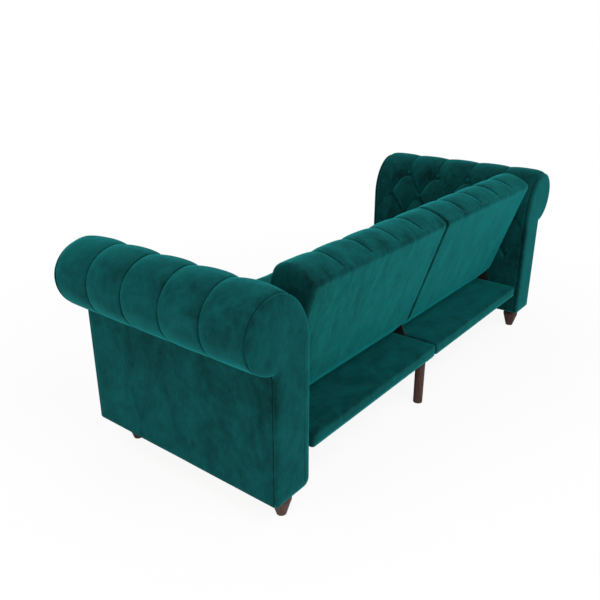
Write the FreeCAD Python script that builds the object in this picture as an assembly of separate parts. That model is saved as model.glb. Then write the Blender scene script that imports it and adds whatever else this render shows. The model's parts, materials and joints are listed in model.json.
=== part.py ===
import FreeCAD, Part
import os
from math import acos, asin, cos, degrees, pi, radians, sin, sqrt

# Roll-arm sofa bed with a split reclining back. Millimetres, +Z up, the front faces -Y.
# The origin is on the floor under the middle of the sofa. Left is the sitter's left, +X.

# Overall sizes
arm_depth = 860.0
seat_clear_width = 1712.0
arm_thickness = 164.0
arm_height = 785.0
foot_height = 92.0

# Arm scroll, seen from the end of the arm
roll_reach = 110.0
roll_half_width = 126.0
roll_rise = 113.0
inside_sweep_height = 193.0
arm_corner_radius = 28.0

# Arm layers
arm_padding_thickness = 34.0
facing_thickness = 12.0
facing_edge = 3.0
end_board_thickness = 18.0
outer_panel_thickness = 10.0
base_board_thickness = 18.0
arm_rail_width = 22.0
arm_rail_height = 60.0
arm_rail_lift = 200.0
roll_core_radius = 35.0

# Channels and tufts of the arms and the back
channel_count = 5
arm_first_row_drop = 53.0
back_first_row = 380.0
arm_row_step = 120.0
back_row_step = 110.0
tuft_rows = 4
button_depth = 22.0
pleat_depth = 13.0
channel_depth = 9.0
tuft_nub = 14.0
end_softening = 0.12
arm_tuft_tail = 42.0
back_tuft_end = 20.0
button_radius = 11.0
button_thickness = 9.0
button_edge = 3.0
arm_button_lifts = [5.25, 4.9, 6.9]
back_button_lifts = [10.95, 5.6, 8.0]
button_sides = 6

# Feet and centre legs
foot_side_inset = 85.0
foot_front_inset = 103.0
foot_rear_inset = 54.0
foot_collar_radius = 32.0
foot_collar_height = 11.0
foot_neck_radius = 27.0
foot_neck_height = 4.0
foot_bulge_radius = 34.5
foot_bulge_height = 24.0
foot_bulge_round = 2.5
foot_bulge_peak = 0.4
foot_bulge_shoulder = 0.75
foot_collar_bevel = 0.3
foot_tip_radius = 17.0
turned_sides = 20
hanger_bolt_radius = 4.0
hanger_bolt_in_foot = 32.0
hanger_bolt_above_board = 15.0
leg_top_radius = 20.0
leg_tip_radius = 19.0
leg_from_middle = 54.0
leg_edge_inset = 37.5
leg_plate_width = 70.0
leg_plate_thickness = 4.0

# Deck, the slab that carries the seat and the lowered back
deck_top = 253.0
deck_thickness = 47.5
deck_end_gap = 28.0
deck_rear_inset = 10.5
deck_front_inset = 45.0
deck_edge_radius = 12.0
deck_cover_thickness = 4.0
dust_cover_thickness = 2.0
deck_rail_width = 30.0
deck_slat_width = 40.0
deck_slat_count = 5

# Seat cushions
seat_top = 430.0
seat_front_inset = 40.0
seat_edge_radius = 42.0
seat_crown = 7.0
seat_front_swell = 10.0
seat_end_gap = 3.0
seat_side_draw = 9.0
seat_least_draw = 0.5
seat_side_soften = 45.0
seat_rear_upright = 77.0
seat_back_clearance = 7.0

# Back halves, measured from the pin: along the panel and across it
recline_angle = 18.5
pin_rear_offset = 216.8
pin_height = 330.0
back_end_gap = 23.0
back_inner_end = 4.0
back_front_depth = 100.0
back_rear_depth = 65.0
back_fold_reach = 477.6
back_crown_reach = 488.0
back_crown_fall = 63.0
back_crown_run = 85.0
back_foot_reach = 68.0
back_foot_radius = 30.0
back_foot_rear = 29.0
back_panel_start = 19.3
back_panel_thickness = 12.0
back_front_padding = 45.0
back_top_padding = 31.0
back_foot_padding = 18.0
back_foot_wall = 8.0
back_end_wall = 6.0
back_end_rounding = 15.0
back_end_soften = 28.0
stile_thickness = 25.0
stile_count = 5
back_rail_height = 22.0

# Hinges
pin_radius = 6.0
pin_head_radius = 11.0
pin_head_thickness = 3.0
hinge_arm_thickness = 4.0
hinge_arm_width = 36.0
hinge_arm_eye = 26.0
hinge_arm_reach = 185.0
hinge_plate_thickness = 5.0
hinge_drum_radius = 32.0
hinge_plate_gap = 0.7
hinge_foot_half_width = 60.0
hinge_foot_margin = 4.0
centre_plate_thickness = 4.0
hinge_web_share = 0.9
bush_radius = 9.0
pin_bush_length = 29.0

# Bolts
small_bolt_radius = 4.0
large_bolt_radius = 5.0
bolt_head_radius = 7.5
bolt_head_thickness = 5.0
bolt_grip = 18.0
bolt_sides = 8
washer_radius = 13.0
arm_bolt_front_inset = 180.0
arm_bolt_spacing = 310.0
bracket_half_width = 30.0
hinge_bolt_half_spacing = 40.0
hinge_arm_bolt_first = 80.0
hinge_arm_bolt_step = 70.0
front_joint_inset = 90.0

# Fits
fit_gap = 0.3
running_fit = 0.05
bolt_clearance = 0.2
end_clearance = 1.0

# Places worked out from the sizes above
half_depth = arm_depth / 2
inner_x = seat_clear_width / 2
outer_x = inner_x + arm_thickness
deck_half_length = inner_x - deck_end_gap
back_half_length = inner_x - back_end_gap
panel_inner_x = outer_x - outer_panel_thickness
axis_x = outer_x + roll_reach - roll_half_width
axis_z = arm_height - roll_rise
inside_half_width = axis_x - inner_x
shoulder_z = arm_height - inside_sweep_height
facing_y = half_depth - facing_thickness
board_y = facing_y - end_board_thickness
core_x = inner_x + arm_padding_thickness
deck_bottom = deck_top - deck_thickness
deck_front = -half_depth + deck_front_inset
deck_rear = half_depth - deck_rear_inset
deck_inner = centre_plate_thickness / 2
deck_rail_outer = deck_half_length - deck_cover_thickness
bolt_z = deck_bottom + deck_thickness / 2
arm_plate_x = back_half_length + fit_gap
hinge_plate_x = arm_plate_x + hinge_arm_thickness + hinge_plate_gap
hinge_outer_x = hinge_plate_x + hinge_plate_thickness
core_front = back_front_depth - back_front_padding
core_rear = back_panel_thickness - back_rear_depth
core_top = back_crown_reach - back_top_padding
core_foot = back_foot_padding - back_foot_reach
crown_room = back_crown_reach - back_fold_reach - end_clearance
arm_rows = [arm_height - arm_first_row_drop - arm_row_step * k for k in range(tuft_rows)]
arm_tuft_end = arm_rows[-1] - arm_tuft_tail
back_rows = [back_first_row - back_row_step * k for k in range(tuft_rows)]

# Steps of the facets that shape the covers
roll_step = 18.0
facing_step = 9.0
section_blends = [0.0, 0.2, 0.55, 1.0]
puff_profile = [(0.2, 0.73), (0.5, 1.0), (0.8, 0.73)]
channel_parts = [0.3, 0.6, 1.0]
least_pit = 0.1
fold_parts = [0.12, 0.35, 0.75]
quarter_turns = [0, 30, 60, 90]
crown_turns = [90, 72, 54, 36, 18, 0]


def vec(x, y, z):
    return FreeCAD.Vector(x, y, z)


def box(x0, x1, y0, y1, z0, z1):
    return Part.makeBox(x1 - x0, y1 - y0, z1 - z0, vec(x0, y0, z0))


def rod(radius, start, end):
    """Round bar between two points."""
    return Part.makeCylinder(radius, (end - start).Length, start, end - start)


def rod_x(radius, x0, x1, y, z):
    return rod(radius, vec(x0, y, z), vec(x1, y, z))


def polygon_points(sides, radius):
    return [(radius * cos(2 * pi * k / sides), radius * sin(2 * pi * k / sides)) for k in range(sides)]


def polygon_ring(sides, radius, height):
    """Corners of a level regular polygon round the Z axis."""
    return [vec(a, b, height) for a, b in polygon_points(sides, radius)]


def closed(corners):
    return Part.makePolygon(corners + corners[:1])


def facet_loft(sections):
    """Solid through a row of polygons with equal corner counts, its side quads split into flat triangles."""
    faces = [Part.Face(closed(end)) for end in (sections[0], sections[-1])]
    for near, far in lines(sections):
        for k in range(len(near)):
            faces.append(Part.Face(closed([near[k - 1], near[k], far[k]])))
            faces.append(Part.Face(closed([near[k - 1], far[k], far[k - 1]])))
    shell = Part.Shell(faces)
    shell.sewShape()
    solid = Part.Solid(shell)
    if solid.Volume < 0:
        return facet_loft(sections[::-1])
    return solid.removeSplitter()


def bar_x(sides, radius, x0, x1, y, z):
    """Bar along X with a regular polygon section: a bolt, its head or its hole."""
    corners = [vec(x0, y + a, z + b) for a, b in polygon_points(sides, radius)]
    return Part.Face(closed(corners)).extrude(vec(x1 - x0, 0, 0))


def bolt_x(radius, x0, x1, y, z):
    return bar_x(bolt_sides, radius, x0, x1, y, z)


def bolt_head_x(x0, x1, y, z):
    return bar_x(6, bolt_head_radius, x0, x1, y, z)


def turned(rings, x, y):
    """Turned piece on an upright axis through rings of (radius, height)."""
    piece = facet_loft([polygon_ring(turned_sides, radius, height) for radius, height in rings])
    piece.translate(vec(x, y, 0))
    return piece


def bolt_z_bar(radius, x, y, z0, z1):
    """Upright bolt or its hole."""
    bar = Part.Face(closed(polygon_ring(bolt_sides, radius, z0))).extrude(vec(0, 0, z1 - z0))
    bar.translate(vec(x, y, 0))
    return bar


def stroke_edge(points):
    """A stroke of two points is a line, and one of three points is an arc."""
    if len(points) == 2:
        return Part.LineSegment(*points).toShape()
    return Part.Arc(*points).toShape()


def outline(strokes, place):
    """Closed wire of flat strokes, set in space by the function place."""
    return Part.Wire([stroke_edge([place(p) for p in stroke]) for stroke in strokes])


def prism(strokes, place, travel):
    return Part.Face(outline(strokes, place)).extrude(travel)


def lines(points):
    """Straight strokes from point to point."""
    return [(points[k], points[k + 1]) for k in range(len(points) - 1)]


def in_arm(y):
    """Places a point of the arm's end view at the depth y."""
    return lambda p: vec(p[0], y, p[1])


def in_back(x):
    """Places a point (along, across) of the upright back at the width x, with the pin at the origin."""
    return lambda p: vec(x, -p[1], p[0])


def recline(shape):
    """Leans an upright back piece to its sofa position on the pin."""
    leaned = shape.copy()
    leaned.rotate(vec(0, 0, 0), vec(1, 0, 0), -recline_angle)
    leaned.translate(vec(0, pin_rear_offset, pin_height))
    return leaned


def mirrored(shape):
    return shape.mirror(vec(0, 0, 0), vec(1, 0, 0))


# Arm scroll

def roll_point(angle, inset):
    """Point of the roll's outer half, by its angle above the horizontal."""
    rise = roll_rise if angle > 0 else roll_half_width
    turn = radians(angle)
    return (axis_x + (roll_half_width - inset) * cos(turn), axis_z + (rise - inset) * sin(turn))


def sweep_point(angle, inset):
    """Point of the sweep from the roll's top, at 90 degrees, down to the upright inside face, at 0."""
    turn = radians(angle)
    across = (inside_half_width - inset) * cos(turn)
    return (axis_x - across, shoulder_z + (inside_sweep_height - inset) * sin(turn))


def sweep_angle(height):
    return degrees(asin((height - shoulder_z) / inside_sweep_height))


def inside_point(height, inset):
    """Point of the arm's inside face at a height."""
    if height <= shoulder_z:
        return (inner_x + inset, height)
    return sweep_point(sweep_angle(height), inset)


def corner_points(inset):
    """Rounded bottom corner of the arm's inside face."""
    radius = arm_corner_radius - inset
    points = []
    for turn in quarter_turns:
        reach = radius * (1 - cos(radians(turn)))
        rise = radius * (1 - sin(radians(turn)))
        points.append((inner_x + inset + reach, foot_height + inset + rise))
    return points


def roll_points(inset, right_x, step):
    """Outer half of the roll, from an upright line below it to its top."""
    start = -degrees(acos((right_x - axis_x) / (roll_half_width - inset)))
    count = int((90 - start) / step)
    return [roll_point(angle, inset) for angle in [start] + [90 - step * k for k in range(count, -1, -1)]]


def scroll_points(inset, right_x, step):
    """Roll and inside sweep, from the outer side over the top to the shoulder."""
    sweep = [sweep_point(90 - step * k, inset) for k in range(1, int(90 / step) + 1)]
    return roll_points(inset, right_x, step) + sweep


def facing_points(inset):
    """End view of the whole arm."""
    right = outer_x - inset
    return scroll_points(inset, right, facing_step) + corner_points(inset) + [(right, foot_height + inset)]


def frame_points(gap):
    """Outline of the arm's frame inside the padding, square at its foot."""
    inset = arm_padding_thickness + gap
    foot = [(inner_x + inset, foot_height), (panel_inner_x, foot_height)]
    return scroll_points(inset, panel_inner_x, roll_step) + foot


# Tufted covers: the skin is sewn down along zigzag pleats between rows of buttons

def zigzag(rows, k, blend):
    """Place of pleat k, counted down the cover. Blend is 0 at a channel seam and 1 mid-channel."""
    toward = blend if k % 2 == 0 else 1 - blend
    return rows[k] + (rows[k + 1] - rows[k]) * toward + tuft_nub * (toward - 0.5)


def sewn_depth(blend, scale):
    """Depth of the pleats: deepest at the buttons."""
    return scale * (pleat_depth + (button_depth - pleat_depth) * (2 * blend - 1) ** 2)


def channel_end(rows, blend):
    """Place where a channel has dropped to the depth of the first pleat."""
    return zigzag(rows, 0, blend) + tuft_nub * (1 - blend * (1 - least_pit))


def tuft_points(rows, skin, blend, scale, last):
    """Puffs between the pleats, from the first pleat down to where the cover lies flat."""
    depth = sewn_depth(blend, scale)
    pleats = [zigzag(rows, k, blend) for k in range(tuft_rows - 1)]
    points = []
    for k in range(tuft_rows - 2):
        width = 1 - blend if k % 2 == 0 else blend
        swell = depth * width * (2 - width)
        points.append(skin(pleats[k], depth))
        for part, share in puff_profile:
            place = pleats[k] + (pleats[k + 1] - pleats[k]) * part
            points.append(skin(place, depth - swell * share))
    points.append(skin(pleats[-1], depth))
    for part, share in puff_profile:
        place = pleats[-1] + (last - pleats[-1]) * part
        points.append(skin(place, depth * (1 - share) * (1 - part)))
    points.append(skin(last, 0))
    return points


def channel_columns(start, end):
    """Sections across the channels: (place, blend, scale of the sewing)."""
    pitch = (end - start) / channel_count
    columns = []
    for k in range(channel_count):
        rising = end_softening if k == 0 else 1.0
        falling = end_softening if k == channel_count - 1 else 1.0
        middle = start + (k + 0.5) * pitch
        for blend in section_blends:
            columns.append((middle - (1 - blend) * pitch / 2, blend, rising + (1 - rising) * blend))
        for blend in section_blends[-2:0:-1]:
            columns.append((middle + (1 - blend) * pitch / 2, blend, falling + (1 - falling) * blend))
    return columns + [(end, 0.0, end_softening)]


def button(centre, normal):
    """Covered button: a low faceted dome on a flat base, its base at the centre point."""
    rings = [(button_radius, 0), (button_radius, button_thickness - button_edge),
             (button_radius - button_edge, button_thickness)]
    dome = facet_loft([polygon_ring(button_sides, radius, height) for radius, height in rings])
    dome.Placement = FreeCAD.Placement(centre, FreeCAD.Rotation(vec(0, 0, 1), normal))
    return dome


def button_seats(rows, columns, lifts, skin_seat):
    """Seats where the pleats meet: even rows on the channel seams, odd rows mid-channel."""
    seats = []
    for place, blend, scale in columns:
        if scale == 1.0 and blend in (0.0, 1.0):
            first_row = 0 if blend == 0.0 else 1
            for k in range(first_row, tuft_rows - 1, 2):
                seats.append(skin_seat(rows[k], place, button_depth - lifts[k]))
    return seats


def sew_buttons(rows, columns, lifts, skin_seat):
    return Part.makeCompound([button(*seat) for seat in button_seats(rows, columns, lifts, skin_seat)])


# Arm pieces

def arm_section(y, blend, scale):
    """Section of the arm's padding: roll, channel end, tufts, flat lower part, hollow for the frame."""
    seam = channel_depth * scale * (1 - blend) ** 2
    depth = sewn_depth(blend, scale)
    first = sweep_angle(channel_end(arm_rows, blend))
    points = roll_points(seam, panel_inner_x, roll_step)
    for part in channel_parts:
        points.append(sweep_point(90 + (first - 90) * part, seam * (1 - part) + depth * part ** 3))
    points += tuft_points(arm_rows, inside_point, blend, scale, arm_tuft_end)
    points += corner_points(0)
    points += frame_points(0)[-2::-1]
    return [in_arm(y)(p) for p in points]


def arm_columns():
    return channel_columns(-facing_y, facing_y)


def arm_padding():
    """Channelled roll and tufted inside face round the arm's frame."""
    cover = facet_loft([arm_section(*column) for column in arm_columns()])
    return cover.cut(arm_bolt_holes(inner_x - end_clearance, core_x + end_clearance))


def arm_buttons():
    def seat(height, y, inset):
        centre = inside_point(height, inset)
        outward = inside_point(height, 0)
        normal = vec(outward[0] - centre[0], 0, outward[1] - centre[1]).normalize()
        return vec(centre[0], y, centre[1]), normal

    return sew_buttons(arm_rows, arm_columns(), arm_button_lifts, seat)


def arm_facing(side):
    """Flat scroll panel on the end of the arm: side is -1 at the front and 1 at the rear."""
    layers = [(facing_y, 0), (half_depth - facing_edge, 0), (half_depth, facing_edge)]
    return facet_loft([[in_arm(side * y)(p) for p in facing_points(inset)] for y, inset in layers])


def arm_end_board(side):
    """Scroll-shaped board behind a facing."""
    places = (side * board_y, side * facing_y)
    return facet_loft([[in_arm(y)(p) for p in frame_points(fit_gap)] for y in places])


def roll_core_ring(y):
    corners = polygon_points(turned_sides, roll_core_radius)
    return [vec(axis_x + a, y, axis_z + b) for a, b in corners]


def arm_rails():
    """Long rails between the end boards: two low, two high, and the round core of the roll."""
    inner = core_x + fit_gap
    high = shoulder_z - arm_rail_height
    low = foot_height + base_board_thickness
    outer = panel_inner_x - arm_rail_width
    far = inner + arm_rail_width
    bolted = box(inner, far, -board_y, board_y, arm_rail_lift, arm_rail_lift + arm_rail_height)
    return Part.makeCompound([
        bolted.cut(arm_bolt_holes(inner - end_clearance, far + end_clearance)),
        box(inner, far, -board_y, board_y, high, high + arm_rail_height),
        box(outer, panel_inner_x, -board_y, board_y, low, low + arm_rail_height),
        box(outer, panel_inner_x, -board_y, board_y, high - arm_rail_height, high),
        facet_loft([roll_core_ring(-board_y), roll_core_ring(board_y)]),
    ])


def arm_outer_panel():
    """Flat panel from the arm's bottom to the underside of the roll."""
    across = panel_inner_x - axis_x
    top = axis_z - sqrt(roll_half_width ** 2 - across ** 2) - fit_gap
    return box(panel_inner_x, outer_x, -facing_y, facing_y, foot_height, top)


def foot_places():
    """Name and centre of each turned foot on the left arm."""
    foot_x = outer_x - foot_side_inset
    return {
        "front": (foot_x, -half_depth + foot_front_inset),
        "rear": (foot_x, half_depth - foot_rear_inset),
    }


def foot_bolt_bars(radius, z0, z1):
    return [bolt_z_bar(radius, x, y, z0, z1) for x, y in foot_places().values()]


def arm_base_board():
    top = foot_height + base_board_thickness
    board = box(core_x + fit_gap, panel_inner_x, -board_y, board_y, foot_height, top)
    return board.cut(foot_bolt_bars(hanger_bolt_radius + bolt_clearance, 0, arm_height))


def turned_foot(x, y):
    """Turned foot: a tapered shank, a bulge, a neck and a collar."""
    neck_top = foot_height - foot_collar_height
    neck_bottom = neck_top - foot_neck_height
    bulge_bottom = neck_bottom - foot_bulge_height
    foot = turned([
        (foot_tip_radius, 0),
        (foot_bulge_radius - foot_bulge_round, bulge_bottom),
        (foot_bulge_radius, bulge_bottom + foot_bulge_height * foot_bulge_peak),
        (foot_bulge_radius - foot_bulge_round / 2, bulge_bottom + foot_bulge_height * foot_bulge_shoulder),
        (foot_neck_radius, neck_bottom),
        (foot_neck_radius, neck_top),
        (foot_collar_radius, neck_top + foot_collar_height * foot_collar_bevel),
        (foot_collar_radius, foot_height),
    ], x, y)
    bolt_bottom = foot_height - hanger_bolt_in_foot - end_clearance
    return foot.cut(bolt_z_bar(hanger_bolt_radius + bolt_clearance, x, y, bolt_bottom, arm_height))


def foot_bolts():
    top = foot_height + base_board_thickness + hanger_bolt_above_board
    return foot_bolt_bars(hanger_bolt_radius, foot_height - hanger_bolt_in_foot, top)


# Deck and seat pieces

def arm_bolt_places():
    first = -half_depth + arm_bolt_front_inset
    return [first, first + arm_bolt_spacing]


def arm_bolt_holes(x0, x1):
    return [bolt_x(large_bolt_radius + bolt_clearance, x0, x1, y, bolt_z) for y in arm_bolt_places()]


def hinge_bolt_places():
    return [pin_rear_offset - hinge_bolt_half_spacing, pin_rear_offset + hinge_bolt_half_spacing]


def hinge_bolt_holes(x0, x1):
    return [bolt_x(small_bolt_radius + bolt_clearance, x0, x1, y, bolt_z) for y in hinge_bolt_places()]


def joint_bolt_places():
    return hinge_bolt_places() + [deck_front + front_joint_inset]


def joint_bolt_holes(x0, x1):
    return [bolt_x(small_bolt_radius + bolt_clearance, x0, x1, y, bolt_z) for y in joint_bolt_places()]


def deck_holes():
    """Holes for the bolts that enter the deck from its two ends."""
    outer = deck_half_length - deck_cover_thickness - deck_rail_width - end_clearance
    inner = deck_inner + deck_cover_thickness + deck_rail_width + end_clearance
    far = deck_half_length + end_clearance
    return arm_bolt_holes(outer, far) + hinge_bolt_holes(outer, far) + joint_bolt_holes(0, inner)


def deck_ring(inset, z):
    """Level rectangle round a deck half."""
    x0 = deck_inner + inset
    x1 = deck_half_length - inset
    y0 = deck_front + inset
    y1 = deck_rear - inset
    return [vec(x0, y0, z), vec(x1, y0, z), vec(x1, y1, z), vec(x0, y1, z)]


def deck_cover():
    """Velvet wrap of the deck: top and four soft edges, open below."""
    rings = [deck_ring(0, deck_bottom)]
    for turn in quarter_turns:
        inset = deck_edge_radius * (1 - cos(radians(turn)))
        rings.append(deck_ring(inset, deck_top - deck_edge_radius * (1 - sin(radians(turn)))))
    wall = deck_cover_thickness
    inside = box(deck_inner + wall, deck_half_length - wall, deck_front + wall, deck_rear - wall,
                 deck_bottom - end_clearance, deck_top - deck_edge_radius)
    slat_bed = box(deck_inner + deck_edge_radius, deck_half_length - deck_edge_radius,
                   deck_front + deck_edge_radius, deck_rear - deck_edge_radius,
                   deck_bottom - end_clearance, deck_top - wall)
    return facet_loft(rings).cut([inside, slat_bed] + deck_holes())


def deck_frame():
    """Perimeter rails and cross slats under the cover."""
    x0 = deck_inner + deck_cover_thickness
    x1 = deck_half_length - deck_cover_thickness
    y0 = deck_front + deck_cover_thickness
    y1 = deck_rear - deck_cover_thickness
    wide = deck_rail_width
    top = deck_top - deck_edge_radius
    low = deck_bottom + dust_cover_thickness
    pieces = [
        box(x0, x1, y0, y0 + wide, low, top),
        box(x0, x1, y1 - wide, y1, low, top),
        box(x0, x0 + wide, y0 + wide, y1 - wide, low, top),
        box(x1 - wide, x1, y0 + wide, y1 - wide, low, top),
    ]
    slat_top = deck_top - deck_cover_thickness
    clear = x1 - x0 - 2 * wide
    space = (clear - deck_slat_count * deck_slat_width) / (deck_slat_count + 1)
    for k in range(deck_slat_count):
        left = x0 + wide + space + k * (deck_slat_width + space)
        pieces.append(box(left, left + deck_slat_width, y0 + wide, y1 - wide, low, slat_top))
    holes = deck_holes()
    return Part.makeCompound([piece.cut(holes) for piece in pieces])


def deck_dust_cover():
    """Thin sheet that closes the deck frame from below."""
    wall = deck_cover_thickness
    return box(deck_inner + wall, deck_half_length - wall, deck_front + wall, deck_rear - wall,
               deck_bottom, deck_bottom + dust_cover_thickness)


def seat_section(x, draw):
    """Section of a seat cushion from front to rear, drawn in by an amount at its ends."""
    front = -half_depth + seat_front_inset + draw
    bottom = deck_top + fit_gap
    top = seat_top - draw
    edge_top = top - seat_crown / 2
    clear_radius = sqrt(back_front_depth ** 2 + back_foot_reach ** 2) + seat_back_clearance
    rear_low = pin_rear_offset - clear_radius - draw
    rear_high = pin_rear_offset - sqrt(clear_radius ** 2 - back_front_depth ** 2) - draw
    quarter = 1 - sqrt(0.5)
    round_start = (front, top - seat_edge_radius)
    round_end = (front + seat_edge_radius, edge_top)
    round_middle = (front + seat_edge_radius * quarter, edge_top - (edge_top - round_start[1]) * quarter)
    swell = seat_front_swell * (1 - draw / seat_side_draw)
    front_middle = (front - swell, (bottom + round_start[1]) / 2)
    crown = ((round_end[0] + rear_high) / 2, top + seat_crown / 2 - draw / 2)
    rear_top = (rear_high, top - seat_crown)
    rear_bend = (rear_low, bottom + seat_rear_upright)
    strokes = [
        ((front, bottom), front_middle, round_start),
        (round_start, round_middle, round_end),
        (round_end, crown, rear_top),
    ]
    strokes += lines([rear_top, rear_bend, (rear_low, bottom), (front, bottom)])
    return outline(strokes, lambda p: vec(x, p[0], p[1]))


def seat_cushion():
    """Seat cushion with a crowned top, a swelled front and drawn-in ends."""
    x0 = seat_end_gap
    x1 = deck_half_length - seat_end_gap
    soft = seat_side_soften
    most = seat_side_draw - seat_least_draw
    stations = [(0, most), (soft / 3, most / 3), (soft, seat_least_draw)]
    near = [seat_section(x0 + run, draw) for run, draw in stations]
    far = [seat_section(x1 - run, draw) for run, draw in stations[::-1]]
    return Part.makeLoft(near + far, True, True)


def centre_leg_places():
    return {"rear": deck_rear - leg_edge_inset, "front": deck_front + leg_edge_inset}


def centre_leg(y):
    top = deck_bottom - leg_plate_thickness
    return turned([(leg_tip_radius, 0), (leg_top_radius, top)], leg_from_middle, y)


def centre_leg_plates():
    half = leg_plate_width / 2
    low = deck_bottom - leg_plate_thickness
    return Part.makeCompound([
        box(leg_from_middle - half, leg_from_middle + half, y - half, y + half, low, deck_bottom)
        for y in centre_leg_places().values()
    ])


def arm_brackets():
    """Spacer blocks between the deck's end and the arm, one round each bolt."""
    low = deck_bottom + hinge_foot_margin
    high = deck_top - deck_edge_radius
    blocks = [
        box(deck_half_length, inner_x - fit_gap, y - bracket_half_width, y + bracket_half_width, low, high)
        for y in arm_bolt_places()
    ]
    holes = arm_bolt_holes(deck_half_length - end_clearance, inner_x + end_clearance)
    return Part.makeCompound([block.cut(holes) for block in blocks])


def arm_bolts():
    """Bolts from the deck's end rail through the bracket into the arm's rail."""
    head = deck_rail_outer - deck_rail_width
    tip = core_x + fit_gap + arm_rail_width
    bolts = []
    for y in arm_bolt_places():
        shank = bolt_x(large_bolt_radius, head, tip, y, bolt_z)
        bolts.append(shank.fuse(bolt_head_x(head - bolt_head_thickness, head, y, bolt_z)))
    return Part.makeCompound(bolts)


def deck_joining_bolts():
    """Bolts with nuts that draw the two deck frames together, with a spacer at the front one."""
    reach = deck_inner + deck_cover_thickness + deck_rail_width
    bolts = []
    for y in joint_bolt_places():
        shank = bolt_x(small_bolt_radius, -reach, reach, y, bolt_z)
        head = bolt_head_x(reach, reach + bolt_head_thickness, y, bolt_z)
        nut = bolt_head_x(-reach - bolt_head_thickness, -reach, y, bolt_z)
        bolts.append(shank.fuse([head, nut]))
    front = joint_bolt_places()[-1]
    washer = bolt_x(washer_radius, -deck_inner, deck_inner, front, bolt_z)
    bolts.append(washer.cut(bolt_x(small_bolt_radius + bolt_clearance, -reach, reach, front, bolt_z)))
    return Part.makeCompound(bolts)


# Back pieces, made upright about the pin and then leaned

def chamfer_across(along, wall):
    """Across-place of the slanted rear foot of the back, a wall's thickness inside it."""
    run = back_panel_start + back_foot_reach
    fall = back_rear_depth - back_foot_rear
    thick = wall * sqrt(run ** 2 + fall ** 2) / run
    return -back_rear_depth + fall * (back_panel_start - along) / run + thick


def front_point(along, inset):
    return (along, back_front_depth - inset)


def crown_point(turn, lowered, inset):
    """Point of the crown's front rounding: 90 degrees on top, 0 on the front face."""
    along = back_crown_reach - back_crown_fall + (back_crown_fall - lowered) * sin(radians(turn))
    across = back_front_depth - back_crown_run + (back_crown_run - inset) * cos(radians(turn))
    return (along, across)


def back_section(x, blend, scale, drop):
    """Section of the back's cover: fold, crown, channel end, tufts, foot and the rear panel's bed."""
    seam = channel_depth * scale * (1 - blend) ** 2 + drop
    depth = sewn_depth(blend, scale)
    lowered = min(seam, crown_room)
    bed = -core_rear - fit_gap
    points = [(back_fold_reach, -bed), (back_fold_reach, -back_rear_depth)]
    for part in fold_parts:
        rise = (back_crown_reach - lowered - back_fold_reach) * (1 - (1 - part) ** 2)
        points.append((back_fold_reach + rise, (part - 1) * back_rear_depth))
    points += [crown_point(turn, lowered, seam) for turn in crown_turns]
    start = back_crown_reach - back_crown_fall
    first = channel_end(back_rows, blend)
    for part in channel_parts:
        points.append(front_point(start + (first - start) * part, seam * (1 - part) + depth * part ** 3))
    points += tuft_points(back_rows, front_point, blend, scale, back_tuft_end)
    for turn in quarter_turns:
        along = back_foot_radius * (1 - sin(radians(turn))) - back_foot_reach
        points.append((along, back_front_depth - back_foot_radius * (1 - cos(radians(turn)))))
    points += [(-back_foot_reach, -back_foot_rear), (back_panel_start - fit_gap, -back_rear_depth)]
    points.append((back_panel_start - fit_gap, -bed))
    return [in_back(x)(p) for p in points]


def back_columns():
    """Channel sections whose ends are rounded down: (x, blend, scale, drop)."""
    columns = []
    for x, blend, scale in channel_columns(back_inner_end, back_half_length):
        from_end = min(x - back_inner_end, back_half_length - x)
        drop = back_end_rounding * max(0.0, 1 - from_end / back_end_soften) ** 2
        columns.append((x, blend, scale, drop))
    return columns


def back_core(gap):
    """Outline of the frame's space inside the back's cover."""
    foot = core_foot + gap
    rear = core_rear + gap
    run = back_panel_start + back_foot_reach
    fall = back_rear_depth - back_foot_rear
    bend = back_panel_start - (rear - chamfer_across(back_panel_start, back_foot_wall + gap)) * run / fall
    corner = (foot, chamfer_across(foot, back_foot_wall + gap))
    top = core_top - gap
    front = core_front - gap
    return lines([(top, rear), (top, front), (foot, front), corner, (bend, rear), (top, rear)])


def pin_hole(radius, x0, x1):
    return rod_x(radius, x0, x1, 0, 0)


def arm_plate_bolt_places():
    return [hinge_arm_bolt_first, hinge_arm_bolt_first + hinge_arm_bolt_step]


def arm_plate_bolt_holes(x0, x1):
    return [bolt_x(small_bolt_radius + bolt_clearance, x0, x1, 0, along) for along in arm_plate_bolt_places()]


def back_padding():
    """Channelled crown and tufted front of a back half, hollow for its frame."""
    cover = facet_loft([back_section(*column) for column in back_columns()])
    inner = back_inner_end + back_end_wall
    outer = back_half_length - back_end_wall
    hollow = prism(back_core(0), in_back(inner), vec(outer - inner, 0, 0))
    far = back_half_length + end_clearance
    holes = [
        bar_x(turned_sides, bush_radius + bolt_clearance, 0, inner + end_clearance, 0, 0),
        bar_x(turned_sides, pin_radius + end_clearance, outer - end_clearance, far, 0, 0),
    ]
    return recline(cover.cut([hollow] + holes + arm_plate_bolt_holes(outer - end_clearance, far)))


def back_buttons():
    def seat(along, x, inset):
        return vec(x, inset - back_front_depth, along), vec(0, -1, 0)

    columns = [column[:3] for column in back_columns()]
    return recline(sew_buttons(back_rows, columns, back_button_lifts, seat))


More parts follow.
